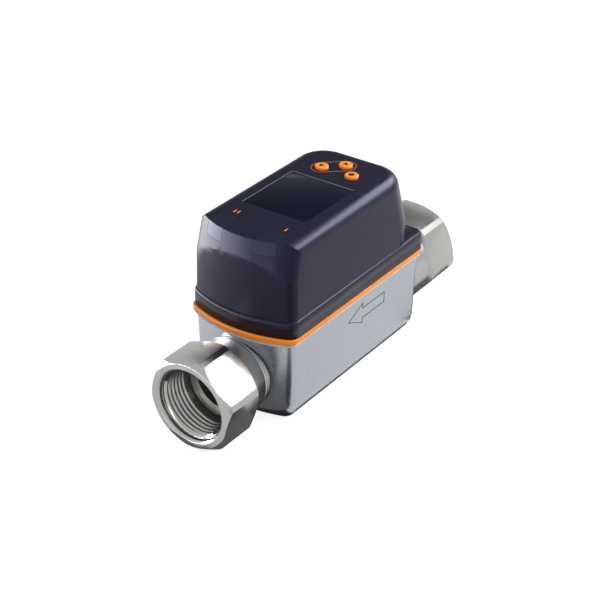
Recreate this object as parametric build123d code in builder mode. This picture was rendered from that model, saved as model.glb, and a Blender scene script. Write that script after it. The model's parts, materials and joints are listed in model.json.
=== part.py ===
"""In-line vortex flow sensor with a display head, made of separate pieces.

The pipe runs along X and water leaves at +X. +Z is up, and z = 0 is the flat
underside of the body. x = 0 is half way between the two hexagon ports.
"""

import os
from dataclasses import dataclass, replace
from math import sqrt

from build123d import *

# Ports
port_to_port = 142.4
axis_height = 17.6
flow_bore_r = 9.5
hex_flats = 32.0
hex_corner_r = 17.84
hex_length = 17.2
hex_chamfer = 1.6
hex_face_r = 15.93
outlet_turn = 14.9
inlet_turn = -10.0
mouth_r = 14.03
entry_r = 13.28
thread_minor_r = 12.06
thread_start = 3.2
thread_end = 12.9
relief_r = 12.6
relief_end = 16.1
shoulder_cone = 0.3

# Spigots that carry the ports in the body
outlet_collar_x = 47.0
outlet_collar_r = 13.9
outlet_clip_x = 46.35
inlet_collar_x = -40.5
inlet_collar_r = 15.9
inlet_clip_x = -39.95
spigot_r = 13.4
spigot_overlap = 8.0
clip_thickness = 0.8
clip_rise = 0.45
clip_groove_depth = 0.5
clip_gap = 5.0
port_seal_r = 0.95
port_seal_depth = 1.9
port_seal_from_end = 4.0
fit_gap = 0.05
free_gap = 0.1

# Body
rim_half_width = 20.9
rim_far_x = -39.3
rim_near_x = 45.9
rim_above_hole = 2.3
side_draft = 0.7
far_draft = 1.1
near_draft = 0.7
body_wall = 2.2
body_floor = 1.8
body_foot_r = 9.0
body_corner_r = 4.0
end_radius = 47.0
wall_hole_gap = 0.1
boss_r = 3.0
boss_depth = 7.0

# Seal, ring and base frame
gasket_height = 1.0
gasket_inset = 0.35
ring_height = 1.9
ring_width = 3.0
ring_half_width = 22.05
ring_far_x = -40.5
ring_near_x = 47.4
ring_corner_r = 4.0
frame_half_width = 21.9
frame_far_x = -40.3
frame_near_x = 46.3
frame_foot_step = 0.1
frame_height = 6.5
frame_wall = 1.6
frame_floor = 1.8
frame_edge_r = 1.3
frame_ledge = 1.9
frame_ledge_width = 1.5
frame_window_x = (-24.0, 26.0)
frame_window_half_y = 9.6
frame_tongue = 1.8
frame_pillar_r = 2.4
standoff_r = 2.5

# Display head
hood_height = 27.7
hood_knee = 8.0
hood_foot_half_width = 21.3
hood_foot_far_x = -35.5
hood_foot_near_x = 45.8
hood_foot_corner_r = 11.5
hood_knee_half_width = 21.15
hood_knee_far_x = -35.3
hood_knee_near_x = 45.5
hood_knee_corner_r = 11.5
hood_head_half_width = 20.5
hood_head_far_x = -29.7
hood_head_near_x = 44.9
hood_head_corner_r = 11.5
hood_wall = 2.2
hood_top_wall = 2.4
hood_edge_r = 4.4
hood_tongue = 2.0
hood_seal_width = 1.4
hood_seal_height = 0.8
bevel_radius = 34.5
bevel_half_width = 29.0
bevel_reach = 60.0
bevel_top_x = 43.2
bevel_slope = 0.29

# Flow tube and its inserts
tube_r = 15.2
tube_far_x = -31.5
tube_near_x = 36.5
tube_end_chamfer = 0.8
pad_far_x = -21.0
pad_near_x = 25.5
pad_half_y = 9.6
pad_top = 34.6
insert_r = 5.0
insert_flange_r = 6.4
insert_flange = 1.0
insert_seal_r = 0.65
insert_seal_depth = 1.4
insert_seal_drop = 3.6
bluff_x = -12.0
bluff_width = 5.4
bluff_tail = 2.4
bluff_length = 6.2
bluff_seat = 1.2
sensor_x = 3.0
paddle_width = 1.6
paddle_length = 6.0
paddle_below_axis = 1.5
probe_x = 16.5
probe_r = 1.5
probe_above_axis = 4.5
plate_thickness = 1.5
plate_far_x = -19.5
plate_near_x = 24.0
plate_half_y = 9.3
plate_hole_r = 2.5
wire_r = 0.45
wire_spacing = 2.0

# Boards
board_thickness = 1.6
main_board_gap = 4.4
main_board_length = 64.0
main_board_width = 30.0
main_board_x = 4.0
display_board_drop = 8.3
display_board_length = 60.0
display_board_width = 31.0
display_board_x = 6.5
spacer_flats = 5.0
spacer_far_x = -20.0
spacer_near_x = 30.0
spacer_y = 12.5
socket_x = 13.0
socket_y = 13.0
socket_length = 10.0
socket_width = 3.0
socket_height = 2.5
cable_width = 8.4
cable_thickness = 0.4
chip_size = 7.0
chip_height = 1.2

# Window, buttons and status lights
window_x = 8.8
window_length = 28.6
window_width = 26.2
window_thickness = 1.5
window_ledge = 1.2
module_length = 34.0
module_width = 28.6
module_x = 9.5
button_r = 2.5
button_rise = 0.9
button_edge_r = 0.4
button_flange_r = 3.1
button_flange = 0.7
button_travel = 0.4
side_button_x = -14.0
side_button_y = 6.4
up_button_x = -19.8
switch_size = 4.2
switch_height = 2.2
switch_key_r = 1.2
guide_y = 10.4
guide_width = 7.6
guide_start_x = 33.4
guide_drop = 4.6
guide_leg_x = 34.8
guide_leg_length = 2.6
guide_leg_width = 3.0
led_length = 2.8
led_width = 3.5
led_height = 0.8

# Plug connector
plug_x = -8.0
plug_pad_r = 8.2
plug_pad_y = -21.4
plug_inner_y = -18.3
plug_thread_r = 6.0
plug_end_y = -30.5
plug_flange_r = 7.4
plug_flange = 1.6
plug_stem_r = 5.6
plug_stem_end_y = -15.4
plug_mouth_r = 4.6
plug_seat_r = 4.9
plug_seat_y = -24.5
plug_insert_end_y = -16.4
plug_nut_flats = 13.5
plug_nut_height = 2.4
plug_seal_r = 0.5
plug_seal_circle_r = 6.35
plug_pin_r = 0.5
plug_pin_circle_r = 2.5
plug_pin_tip_y = -29.0
plug_board_y = -14.6
plug_board_thickness = 1.0
plug_board_width = 12.0
plug_board_above_plug = 5.9

# Screws
m3_r = 1.5
m3_head_r = 2.75
m3_head = 2.0
m3_length = 10.0
m25_r = 1.25
m25_head_r = 2.2
m25_head = 1.5
m25_length = 6.0
frame_screw_far_x = -30.0
frame_screw_near_x = 36.5
frame_screw_y = 15.8
clamp_screw_far_x = -4.5
clamp_screw_near_x = 9.75
clamp_screw_y = 6.8

# Levels that follow from the sizes above
body_height = axis_height + spigot_r + wall_hole_gap + rim_above_hole
gasket_top = body_height + gasket_height
ring_top = gasket_top + ring_height
frame_floor_top = ring_top + frame_floor
frame_top = ring_top + frame_height
ledge_top = frame_floor_top + frame_ledge
knee_level = frame_top + hood_knee
plug_z = frame_top + plug_pad_r + free_gap
hood_top = frame_top + hood_height
hood_ceiling = hood_top - hood_top_wall
plate_level = pad_top + insert_flange
plate_top = plate_level + plate_thickness
bore_top = axis_height + flow_bore_r
bore_floor = axis_height - flow_bore_r
main_board_level = frame_floor_top + main_board_gap
main_board_top = main_board_level + board_thickness
display_board_level = hood_top - display_board_drop
display_board_top = display_board_level + board_thickness
plug_board_height = plug_z + plug_board_above_plug - main_board_top
outlet_spigot_end = tube_near_x - spigot_overlap
inlet_spigot_end = tube_far_x + spigot_overlap

pipe_axis = Axis((0, 0, axis_height), (1, 0, 0))
pipe_plane = Plane.XY.offset(axis_height)
insert_places = [(bluff_x, 0), (sensor_x, 0), (probe_x, 0)]
button_places = [(side_button_x, -side_button_y), (up_button_x, 0), (side_button_x, side_button_y)]
frame_screw_x = (frame_screw_far_x, frame_screw_near_x)
frame_screw_places = [(x, y) for x in frame_screw_x for y in (-frame_screw_y, frame_screw_y)]
clamp_screw_x = (clamp_screw_far_x, clamp_screw_near_x)
clamp_screw_places = [(x, y) for x in clamp_screw_x for y in (-clamp_screw_y, clamp_screw_y)]
spacer_places = [(x, y) for x in (spacer_far_x, spacer_near_x) for y in (-spacer_y, spacer_y)]


@dataclass(frozen=True)
class Plan:
    """Outline from above: straight sides, a bowed outlet end and rounded corners."""

    half_width: float
    x_far: float
    x_near: float
    end_radius: float
    near_corner: float
    far_corner: float

    def inset(self, amount):
        """The same outline, further in by the amount."""
        return replace(
            self,
            half_width=self.half_width - amount,
            x_far=self.x_far + amount,
            x_near=self.x_near - amount,
            end_radius=self.end_radius - amount,
            near_corner=max(self.near_corner - amount, 0),
            far_corner=max(self.far_corner - amount, 0),
        )

    def sketch(self):
        """The outline as a filled sketch."""
        bow = self.end_radius - sqrt(self.end_radius**2 - self.half_width**2)
        near_side = self.x_near - bow
        with BuildSketch() as outline:
            with BuildLine():
                Line((self.x_far, -self.half_width), (self.x_far, self.half_width))
                Line((self.x_far, self.half_width), (near_side, self.half_width))
                ThreePointArc((near_side, self.half_width), (self.x_near, 0), (near_side, -self.half_width))
                Line((near_side, -self.half_width), (self.x_far, -self.half_width))
            make_face()
            if self.near_corner:
                fillet(outline.vertices().sort_by(Axis.X)[-2:], self.near_corner)
            if self.far_corner:
                fillet(outline.vertices().sort_by(Axis.X)[:2], self.far_corner)
        return outline.sketch


body_foot = Plan(
    rim_half_width - side_draft, rim_far_x + far_draft, rim_near_x - near_draft, end_radius, 0, 0
)
body_rim = Plan(rim_half_width, rim_far_x, rim_near_x, end_radius, 0, 0)
ring_plan = Plan(
    ring_half_width, ring_far_x, ring_near_x, end_radius, ring_corner_r, ring_corner_r
)
frame_rim = Plan(
    frame_half_width, frame_far_x, frame_near_x, end_radius, ring_corner_r, ring_corner_r
)
hood_foot = Plan(
    hood_foot_half_width, hood_foot_far_x, hood_foot_near_x, end_radius, 0, hood_foot_corner_r
)
hood_middle = Plan(
    hood_knee_half_width, hood_knee_far_x, hood_knee_near_x, end_radius, 0, hood_knee_corner_r
)
hood_head = Plan(
    hood_head_half_width, hood_head_far_x, hood_head_near_x, end_radius, 0, hood_head_corner_r
)


def body_form(inset, floor, corner_r):
    """Body shape with a rounded foot: the outside, or the hollow one wall further in."""
    with BuildPart() as form:
        with BuildSketch(Plane.XY.offset(floor)):
            add(body_foot.inset(inset).sketch())
        with BuildSketch(Plane.XY.offset(body_height)):
            add(body_rim.inset(inset).sketch())
        loft(ruled=True)
        fillet(form.faces().sort_by(Axis.Z)[0].edges(), body_foot_r - inset)
        if corner_r:
            upright = form.edges().filter_by(lambda e: e.bounding_box().size.Z > body_foot_r / 2)
            fillet(upright.filter_by(lambda e: e.bounding_box().size.X < 2 * body_foot_r), corner_r)
    return form.part


def hood_form(inset, top, edge_r):
    """Display head shape: the outside, or the hollow one wall further in."""
    bevel = Plan(bevel_half_width, -bevel_reach, bevel_top_x - inset, bevel_radius, 0, 0)
    bevel_foot = replace(bevel, x_near=bevel.x_near + bevel_slope * hood_height)
    with BuildPart() as form:
        with BuildSketch(Plane.XY.offset(frame_top)):
            add(hood_foot.inset(inset).sketch())
        with BuildSketch(Plane.XY.offset(knee_level)):
            add(hood_middle.inset(inset).sketch())
        loft(ruled=True)
        with BuildSketch(Plane.XY.offset(knee_level)):
            add(hood_middle.inset(inset).sketch())
        with BuildSketch(Plane.XY.offset(hood_top)):
            add(hood_head.inset(inset).sketch())
        loft(ruled=True)
        with BuildSketch(Plane.XY.offset(frame_top)):
            add(bevel_foot.sketch())
        with BuildSketch(Plane.XY.offset(hood_top)):
            add(bevel.sketch())
        loft(ruled=True, mode=Mode.INTERSECT)
        split(bisect_by=Plane.XY.offset(top), keep=Keep.BOTTOM)
        if edge_r:
            rim = form.faces().sort_by(Axis.Z)[-1].edges().sort_by(Axis.X)[:-1]
            near = form.edges().filter_by(lambda e: e.center().X > guide_start_x)
            tall = near.filter_by(lambda e: e.bounding_box().size.Z > edge_r)
            corners = tall.filter_by(lambda e: e.bounding_box().size.Y < hood_foot_half_width)
            fillet(rim + corners, edge_r)
    return form.part


def port_adapter(mouth_x, inward, collar_x, collar_r, clip_x, spigot_end, turn):
    """Threaded hexagon port with a collar, a clip groove and a sealed spigot."""
    seal_x = spigot_end - inward * port_seal_from_end
    seal_half = inward * (port_seal_r + free_gap)
    clip_half = inward * (clip_thickness / 2 + fit_gap)
    seal_floor_r = spigot_r - port_seal_depth
    clip_floor_r = spigot_r - clip_groove_depth
    stations = [
        (0, mouth_r),
        (0, hex_face_r),
        (hex_chamfer, hex_corner_r),
        (hex_length - hex_chamfer, hex_corner_r),
        (hex_length, hex_face_r),
        (hex_length, collar_r),
    ]
    spigot = [
        (collar_x, collar_r),
        (collar_x, spigot_r),
        (clip_x - clip_half, spigot_r),
        (clip_x - clip_half, clip_floor_r),
        (clip_x + clip_half, clip_floor_r),
        (clip_x + clip_half, spigot_r),
        (seal_x - seal_half, spigot_r),
        (seal_x - seal_half, seal_floor_r),
        (seal_x + seal_half, seal_floor_r),
        (seal_x + seal_half, spigot_r),
        (spigot_end, spigot_r),
        (spigot_end, flow_bore_r),
    ]
    bore = [
        (relief_end + shoulder_cone, flow_bore_r),
        (relief_end, relief_r),
        (thread_end, relief_r),
        (thread_end, thread_minor_r),
        (thread_start, thread_minor_r),
        (thread_start - entry_r + thread_minor_r, entry_r),
        (mouth_r - entry_r, entry_r),
    ]
    outside = [(mouth_x + inward * s, r) for s, r in stations]
    inside = [(mouth_x + inward * s, r) for s, r in bore]
    with BuildPart() as adapter:
        with BuildSketch(pipe_plane):
            with BuildLine():
                Polyline(*outside, *spigot, *inside, close=True)
            make_face()
        revolve(axis=pipe_axis)
        with BuildSketch(Plane.YZ):
            with Locations((0, axis_height)):
                RegularPolygon(hex_flats / 2, 6, major_radius=False, rotation=turn)
        extrude(amount=port_to_port, both=True, mode=Mode.INTERSECT)
    return adapter.part


def port_seal(spigot_end, inward):
    """O-ring in the groove of a spigot."""
    with BuildPart() as seal:
        with BuildSketch(pipe_plane):
            seal_x = spigot_end - inward * port_seal_from_end
            with Locations((seal_x, spigot_r - port_seal_depth + port_seal_r)):
                Circle(port_seal_r)
        revolve(axis=pipe_axis)
    return seal.part


def port_clip(clip_x):
    """Open snap ring in the groove between collar and wall."""
    with BuildPart() as clip:
        with BuildSketch(Plane.YZ.offset(clip_x - clip_thickness / 2)):
            with Locations((0, axis_height)):
                Circle(spigot_r + clip_rise)
                Circle(spigot_r - clip_groove_depth + fit_gap, mode=Mode.SUBTRACT)
            with Locations((0, axis_height - spigot_r)):
                Rectangle(clip_gap, clip_gap, mode=Mode.SUBTRACT)
        extrude(amount=clip_thickness)
    return clip.part


def insert_head(x):
    """Sealed head with a flange that closes an insert hole of the pad."""
    seal_level = pad_top - insert_seal_drop
    with BuildPart() as head:
        with BuildSketch(Plane.XY.offset(bore_top + free_gap)):
            with Locations((x, 0)):
                Circle(insert_r - fit_gap)
        extrude(amount=pad_top - bore_top - free_gap)
        with BuildSketch(Plane.XY.offset(seal_level - insert_seal_r - fit_gap)):
            with Locations((x, 0)):
                Circle(insert_r)
                Circle(insert_r - insert_seal_depth, mode=Mode.SUBTRACT)
        extrude(amount=2 * (insert_seal_r + fit_gap), mode=Mode.SUBTRACT)
        with BuildSketch(Plane.XY.offset(pad_top)):
            with Locations((x, 0)):
                Circle(insert_flange_r)
        extrude(amount=insert_flange)
    return head.part


def bluff_section(gap):
    """Trapezoid section of the bluff body, its broad face upstream."""
    front = bluff_x - bluff_length / 2 - gap
    back = bluff_x + bluff_length / 2 + gap
    wide = bluff_width / 2 + gap
    narrow = bluff_tail / 2 + gap
    with BuildSketch() as section:
        with BuildLine():
            Polyline((front, -wide), (front, wide), (back, narrow), (back, -narrow), close=True)
        make_face()
    return section.sketch


def pan_screw(seat, length, shank_r, head_r, head_height):
    """Pan-head screw on the Z axis that points down from its seat."""
    with BuildPart() as piece:
        with BuildSketch(Plane.XY.offset(seat)):
            Circle(head_r)
        extrude(amount=head_height)
        fillet(piece.faces().sort_by(Axis.Z)[-1].edges(), head_height / 3)
        with BuildSketch(Plane.XY.offset(seat)):
            Circle(shank_r)
        extrude(amount=-length)
    return piece.part


def key_button(x, y):
    """Flat button with a flange that stays under the hood."""
    flange_top = hood_ceiling - fit_gap
    with BuildPart() as button:
        with BuildSketch(Plane.XY.offset(flange_top - button_flange)):
            with Locations((x, y)):
                Circle(button_flange_r)
        extrude(amount=button_flange)
        with BuildSketch(Plane.XY.offset(flange_top)):
            with Locations((x, y)):
                Circle(button_r)
        extrude(amount=hood_top + button_rise - flange_top)
        fillet(button.faces().sort_by(Axis.Z)[-1].edges(), button_edge_r)
    return button.part


def light_guide(y):
    """Clear bar that bends over the bevel, with a leg down to its lamp."""
    with BuildPart() as guide:
        with BuildSketch(Plane.XY.offset(hood_top - guide_drop)):
            with Locations((guide_start_x, y)):
                Rectangle(port_to_port, guide_width, align=(Align.MIN, Align.CENTER))
        extrude(amount=guide_drop)
        add(hood_outside, mode=Mode.INTERSECT)
        add(hood_hollow, mode=Mode.SUBTRACT)
        with BuildSketch(Plane.XY.offset(display_board_top + led_height + free_gap)):
            with Locations((guide_leg_x, y)):
                Rectangle(guide_leg_length, guide_leg_width)
        extrude(until=Until.NEXT)
    return guide.part


os.makedirs("parts", exist_ok=True)
hood_outside = hood_form(0, hood_top, hood_edge_r)
hood_hollow = hood_form(hood_wall, hood_ceiling, 0)

# Body and flow tube

with BuildPart() as lower_housing:
    add(body_form(0, 0, body_corner_r))
    add(body_form(body_wall, body_floor, 0), mode=Mode.SUBTRACT)
    with BuildSketch(Plane.XY.offset(body_height)):
        with Locations(*frame_screw_places):
            Circle(boss_r)
    extrude(amount=-boss_depth)
    with BuildSketch(Plane.XY.offset(body_height)):
        with Locations(*frame_screw_places):
            Circle(m3_r + fit_gap)
    extrude(amount=-boss_depth, mode=Mode.SUBTRACT)
    with BuildSketch(Plane.YZ):
        with Locations((0, axis_height)):
            Circle(spigot_r + wall_hole_gap)
    extrude(amount=port_to_port, both=True, mode=Mode.SUBTRACT)
lower_housing.part.label = "lower_housing"
export_step(lower_housing.part, "parts/lower_housing.step")

with BuildPart() as measuring_tube:
    with BuildSketch(Plane.YZ.offset(tube_far_x)):
        with Locations((0, axis_height)):
            Circle(tube_r)
    extrude(amount=tube_near_x - tube_far_x)
    chamfer(measuring_tube.edges().filter_by(GeomType.CIRCLE), tube_end_chamfer)
    with BuildSketch(Plane.XY.offset(axis_height)):
        with Locations(((pad_far_x + pad_near_x) / 2, 0)):
            Rectangle(pad_near_x - pad_far_x, 2 * pad_half_y)
    extrude(amount=pad_top - axis_height)
    with BuildSketch(Plane.YZ.offset(tube_far_x)):
        with Locations((0, axis_height)):
            Circle(flow_bore_r)
    extrude(amount=tube_near_x - tube_far_x, mode=Mode.SUBTRACT)
    with BuildSketch(Plane.YZ.offset(tube_far_x)):
        with Locations((0, axis_height)):
            Circle(spigot_r + fit_gap)
    extrude(amount=spigot_overlap, mode=Mode.SUBTRACT)
    with BuildSketch(Plane.YZ.offset(tube_near_x)):
        with Locations((0, axis_height)):
            Circle(spigot_r + fit_gap)
    extrude(amount=-spigot_overlap, mode=Mode.SUBTRACT)
    with BuildSketch(Plane.XY.offset(pad_top)):
        with Locations(*insert_places):
            Circle(insert_r)
    extrude(amount=axis_height - pad_top, mode=Mode.SUBTRACT)
    with BuildSketch(Plane.XY.offset(bore_floor - bluff_seat)):
        add(bluff_section(fit_gap))
    extrude(amount=axis_height - bore_floor, mode=Mode.SUBTRACT)
    with BuildSketch(Plane.XY.offset(pad_top)):
        with Locations(*clamp_screw_places):
            Circle(m25_r + fit_gap)
    extrude(amount=-m25_length, mode=Mode.SUBTRACT)
measuring_tube.part.label = "measuring_tube"
export_step(measuring_tube.part, "parts/measuring_tube.step")

# Ports

with BuildPart() as outlet_adapter:
    collar = (outlet_collar_x, outlet_collar_r)
    add(port_adapter(port_to_port / 2, -1, *collar, outlet_clip_x, outlet_spigot_end, outlet_turn))
outlet_adapter.part.label = "outlet_adapter"
export_step(outlet_adapter.part, "parts/outlet_adapter.step")

with BuildPart() as inlet_adapter:
    collar = (inlet_collar_x, inlet_collar_r)
    add(port_adapter(-port_to_port / 2, 1, *collar, inlet_clip_x, inlet_spigot_end, inlet_turn))
inlet_adapter.part.label = "inlet_adapter"
export_step(inlet_adapter.part, "parts/inlet_adapter.step")

with BuildPart() as outlet_o_ring:
    add(port_seal(outlet_spigot_end, -1))
outlet_o_ring.part.label = "outlet_o_ring"
export_step(outlet_o_ring.part, "parts/outlet_o_ring.step")

with BuildPart() as inlet_o_ring:
    add(port_seal(inlet_spigot_end, 1))
inlet_o_ring.part.label = "inlet_o_ring"
export_step(inlet_o_ring.part, "parts/inlet_o_ring.step")

with BuildPart() as outlet_clip:
    add(port_clip(outlet_clip_x))
outlet_clip.part.label = "outlet_clip"
export_step(outlet_clip.part, "parts/outlet_clip.step")

with BuildPart() as inlet_clip:
    add(port_clip(inlet_clip_x))
inlet_clip.part.label = "inlet_clip"
export_step(inlet_clip.part, "parts/inlet_clip.step")

# Inserts of the flow tube

with BuildPart() as bluff_body:
    add(insert_head(bluff_x))
    with BuildSketch(Plane.XY.offset(bore_floor - bluff_seat + fit_gap)):
        add(bluff_section(0))
    extrude(amount=2 * flow_bore_r + bluff_seat + free_gap)
bluff_body.part.label = "bluff_body"
export_step(bluff_body.part, "parts/bluff_body.step")

with BuildPart() as vortex_sensor:
    add(insert_head(sensor_x))
    with BuildSketch(Plane.XY.offset(axis_height - paddle_below_axis)):
        with Locations((sensor_x, 0)):
            SlotOverall(paddle_length, paddle_width)
    extrude(amount=flow_bore_r + paddle_below_axis + free_gap)
vortex_sensor.part.label = "vortex_sensor"
export_step(vortex_sensor.part, "parts/vortex_sensor.step")

with BuildPart() as temperature_probe:
    add(insert_head(probe_x))
    with BuildSketch(Plane.XY.offset(axis_height + probe_above_axis)):
        with Locations((probe_x, 0)):
            Circle(probe_r)
    extrude(amount=flow_bore_r - probe_above_axis + free_gap)
    fillet(temperature_probe.faces().sort_by(Axis.Z)[0].edges(), probe_r / 2)
temperature_probe.part.label = "temperature_probe"
export_step(temperature_probe.part, "parts/temperature_probe.step")

with BuildPart() as insert_seals:
    with Locations(*[(x, y, pad_top - insert_seal_drop) for x, y in insert_places]):
        Torus(insert_r - insert_seal_depth + insert_seal_r + fit_gap, insert_seal_r)
insert_seals.part.label = "insert_seals"
export_step(insert_seals.part, "parts/insert_seals.step")

with BuildPart() as clamp_plate:
    with BuildSketch(Plane.XY.offset(plate_level)):
        with Locations(((plate_far_x + plate_near_x) / 2, 0)):
            RectangleRounded(plate_near_x - plate_far_x, 2 * plate_half_y, plate_thickness)
        with Locations(*insert_places):
            Circle(plate_hole_r, mode=Mode.SUBTRACT)
        with Locations(*clamp_screw_places):
            Circle(m25_r + free_gap, mode=Mode.SUBTRACT)
    extrude(amount=plate_thickness)
clamp_plate.part.label = "clamp_plate"
export_step(clamp_plate.part, "parts/clamp_plate.step")

with BuildPart() as clamp_screws:
    with Locations(*clamp_screw_places):
        add(pan_screw(plate_top, m25_length, m25_r, m25_head_r, m25_head))
clamp_screws.part.label = "clamp_screws"
export_step(clamp_screws.part, "parts/clamp_screws.step")

with BuildPart() as sensor_wires:
    with BuildSketch(Plane.XY.offset(plate_level)):
        with Locations((sensor_x, 0), (probe_x, 0)):
            with GridLocations(wire_spacing, wire_spacing, 2, 1):
                Circle(wire_r)
    extrude(amount=main_board_level - plate_level)
sensor_wires.part.label = "sensor_wires"
export_step(sensor_wires.part, "parts/sensor_wires.step")

# Seal, ring and base frame

with BuildPart() as housing_gasket:
    with BuildSketch(Plane.XY.offset(body_height)):
        add(ring_plan.inset(gasket_inset).sketch())
        add(ring_plan.inset(gasket_inset + ring_width).sketch(), mode=Mode.SUBTRACT)
    extrude(amount=gasket_height)
housing_gasket.part.label = "housing_gasket"
export_step(housing_gasket.part, "parts/housing_gasket.step")

with BuildPart() as accent_ring:
    with BuildSketch(Plane.XY.offset(gasket_top)):
        add(ring_plan.sketch())
        add(ring_plan.inset(ring_width).sketch(), mode=Mode.SUBTRACT)
    extrude(amount=ring_height)
accent_ring.part.label = "accent_ring"
export_step(accent_ring.part, "parts/accent_ring.step")

with BuildPart() as base_frame:
    with BuildSketch(Plane.XY.offset(ring_top)):
        add(frame_rim.inset(-frame_foot_step).sketch())
    with BuildSketch(Plane.XY.offset(frame_top)):
        add(frame_rim.sketch())
    loft(ruled=True)
    fillet(base_frame.faces().sort_by(Axis.Z)[-1].edges(), frame_edge_r)
    with BuildSketch(Plane.XY.offset(ledge_top)):
        add(frame_rim.inset(frame_wall).sketch())
    extrude(amount=frame_height, mode=Mode.SUBTRACT)
    with BuildSketch(Plane.XY.offset(frame_floor_top)):
        add(frame_rim.inset(frame_wall + frame_ledge_width).sketch())
    extrude(amount=frame_height, mode=Mode.SUBTRACT)
    with BuildSketch(Plane.XY.offset(ring_top)):
        add(ring_plan.inset(ring_width + free_gap).sketch())
        add(ring_plan.inset(ring_width + free_gap + frame_wall).sketch(), mode=Mode.SUBTRACT)
    extrude(amount=-frame_tongue)
    with BuildSketch(Plane.XY.offset(ring_top)):
        with Locations(*frame_screw_places):
            Circle(frame_pillar_r)
    extrude(amount=body_height - ring_top)
    with BuildSketch(Plane.XY.offset(frame_floor_top)):
        with Locations(*spacer_places):
            Circle(standoff_r)
    extrude(amount=main_board_gap)
    with BuildSketch(Plane.XY.offset(body_height)):
        with Locations(*frame_screw_places):
            Circle(m3_r + free_gap)
    extrude(amount=frame_height, mode=Mode.SUBTRACT)
    with BuildSketch(Plane.XY.offset(main_board_level)):
        with Locations(*spacer_places):
            Circle(m25_r + fit_gap)
    extrude(amount=-m25_length, mode=Mode.SUBTRACT)
    with BuildSketch(Plane.XY.offset(ring_top)):
        with Locations((sum(frame_window_x) / 2, 0)):
            Rectangle(frame_window_x[1] - frame_window_x[0], 2 * frame_window_half_y)
    extrude(amount=frame_floor, mode=Mode.SUBTRACT)
base_frame.part.label = "base_frame"
export_step(base_frame.part, "parts/base_frame.step")

with BuildPart() as frame_screws:
    with Locations(*frame_screw_places):
        add(pan_screw(frame_floor_top, m3_length, m3_r, m3_head_r, m3_head))
frame_screws.part.label = "frame_screws"
export_step(frame_screws.part, "parts/frame_screws.step")

with BuildPart() as hood_seal:
    with BuildSketch(Plane.XY.offset(ledge_top)):
        add(frame_rim.inset(frame_wall + free_gap).sketch())
        add(frame_rim.inset(frame_wall + free_gap + hood_seal_width).sketch(), mode=Mode.SUBTRACT)
    extrude(amount=hood_seal_height)
hood_seal.part.label = "hood_seal"
export_step(hood_seal.part, "parts/hood_seal.step")

# Display head

with BuildPart() as upper_housing:
    add(hood_outside)
    add(hood_hollow, mode=Mode.SUBTRACT)
    with BuildSketch(Plane.XY.offset(frame_top)):
        add(frame_rim.inset(frame_wall + free_gap).sketch())
        add(hood_foot.inset(hood_wall).sketch(), mode=Mode.SUBTRACT)
    extrude(amount=-hood_tongue)
    with BuildSketch(Plane.XZ.offset(-plug_inner_y)):
        with Locations((plug_x, plug_z)):
            Circle(plug_pad_r)
    extrude(amount=plug_inner_y - plug_pad_y)
    with BuildSketch(Plane.XZ.offset(-plug_inner_y)):
        with Locations((plug_x, plug_z)):
            Circle(plug_stem_r + free_gap)
    extrude(amount=plug_inner_y - plug_pad_y, mode=Mode.SUBTRACT)
    with BuildSketch(Plane.XY.offset(hood_top)):
        with Locations((window_x, 0)):
            Rectangle(window_length + 2 * free_gap, window_width + 2 * free_gap)
    extrude(amount=-window_thickness, mode=Mode.SUBTRACT)
    with BuildSketch(Plane.XY.offset(hood_top)):
        with Locations((window_x, 0)):
            Rectangle(window_length - 2 * window_ledge, window_width - 2 * window_ledge)
        with Locations(*button_places):
            Circle(button_r + free_gap)
    extrude(amount=-hood_top_wall, mode=Mode.SUBTRACT)
    with BuildSketch(Plane.XY.offset(hood_top - guide_drop - free_gap)):
        with Locations((guide_start_x - free_gap, -guide_y), (guide_start_x - free_gap, guide_y)):
            Rectangle(port_to_port, guide_width + 2 * free_gap, align=(Align.MIN, Align.CENTER))
    extrude(amount=hood_top, mode=Mode.SUBTRACT)
upper_housing.part.label = "upper_housing"
export_step(upper_housing.part, "parts/upper_housing.step")

with BuildPart() as display_window:
    with BuildSketch(Plane.XY.offset(hood_top)):
        with Locations((window_x, 0)):
            Rectangle(window_length, window_width)
    extrude(amount=-window_thickness)
display_window.part.label = "display_window"
export_step(display_window.part, "parts/display_window.step")

with BuildPart() as right_button:
    add(key_button(side_button_x, -side_button_y))
right_button.part.label = "right_button"
export_step(right_button.part, "parts/right_button.step")

with BuildPart() as up_button:
    add(key_button(up_button_x, 0))
up_button.part.label = "up_button"
export_step(up_button.part, "parts/up_button.step")

with BuildPart() as enter_button:
    add(key_button(side_button_x, side_button_y))
enter_button.part.label = "enter_button"
export_step(enter_button.part, "parts/enter_button.step")

with BuildPart() as left_light_guide:
    add(light_guide(guide_y))
left_light_guide.part.label = "left_light_guide"
export_step(left_light_guide.part, "parts/left_light_guide.step")

with BuildPart() as right_light_guide:
    add(light_guide(-guide_y))
right_light_guide.part.label = "right_light_guide"
export_step(right_light_guide.part, "parts/right_light_guide.step")

# Boards

with BuildPart() as main_board:
    with BuildSketch(Plane.XY.offset(main_board_level)):
        with Locations((main_board_x, 0)):
            Rectangle(main_board_length, main_board_width)
        with Locations(*spacer_places):
            Circle(m25_r + free_gap, mode=Mode.SUBTRACT)
    extrude(amount=board_thickness)
main_board.part.label = "main_board"
export_step(main_board.part, "parts/main_board.step")

with BuildPart() as processor_chip:
    with BuildSketch(Plane.XY.offset(main_board_top)):
        with Locations((probe_x, 0)):
            Rectangle(chip_size, chip_size)
    extrude(amount=chip_height)
processor_chip.part.label = "processor_chip"
export_step(processor_chip.part, "parts/processor_chip.step")

with BuildPart() as charge_amplifier:
    with BuildSketch(Plane.XY.offset(main_board_top)):
        with Locations((sensor_x, 0)):
            Rectangle(chip_size / 2, chip_size)
    extrude(amount=chip_height)
charge_amplifier.part.label = "charge_amplifier"
export_step(charge_amplifier.part, "parts/charge_amplifier.step")

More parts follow.
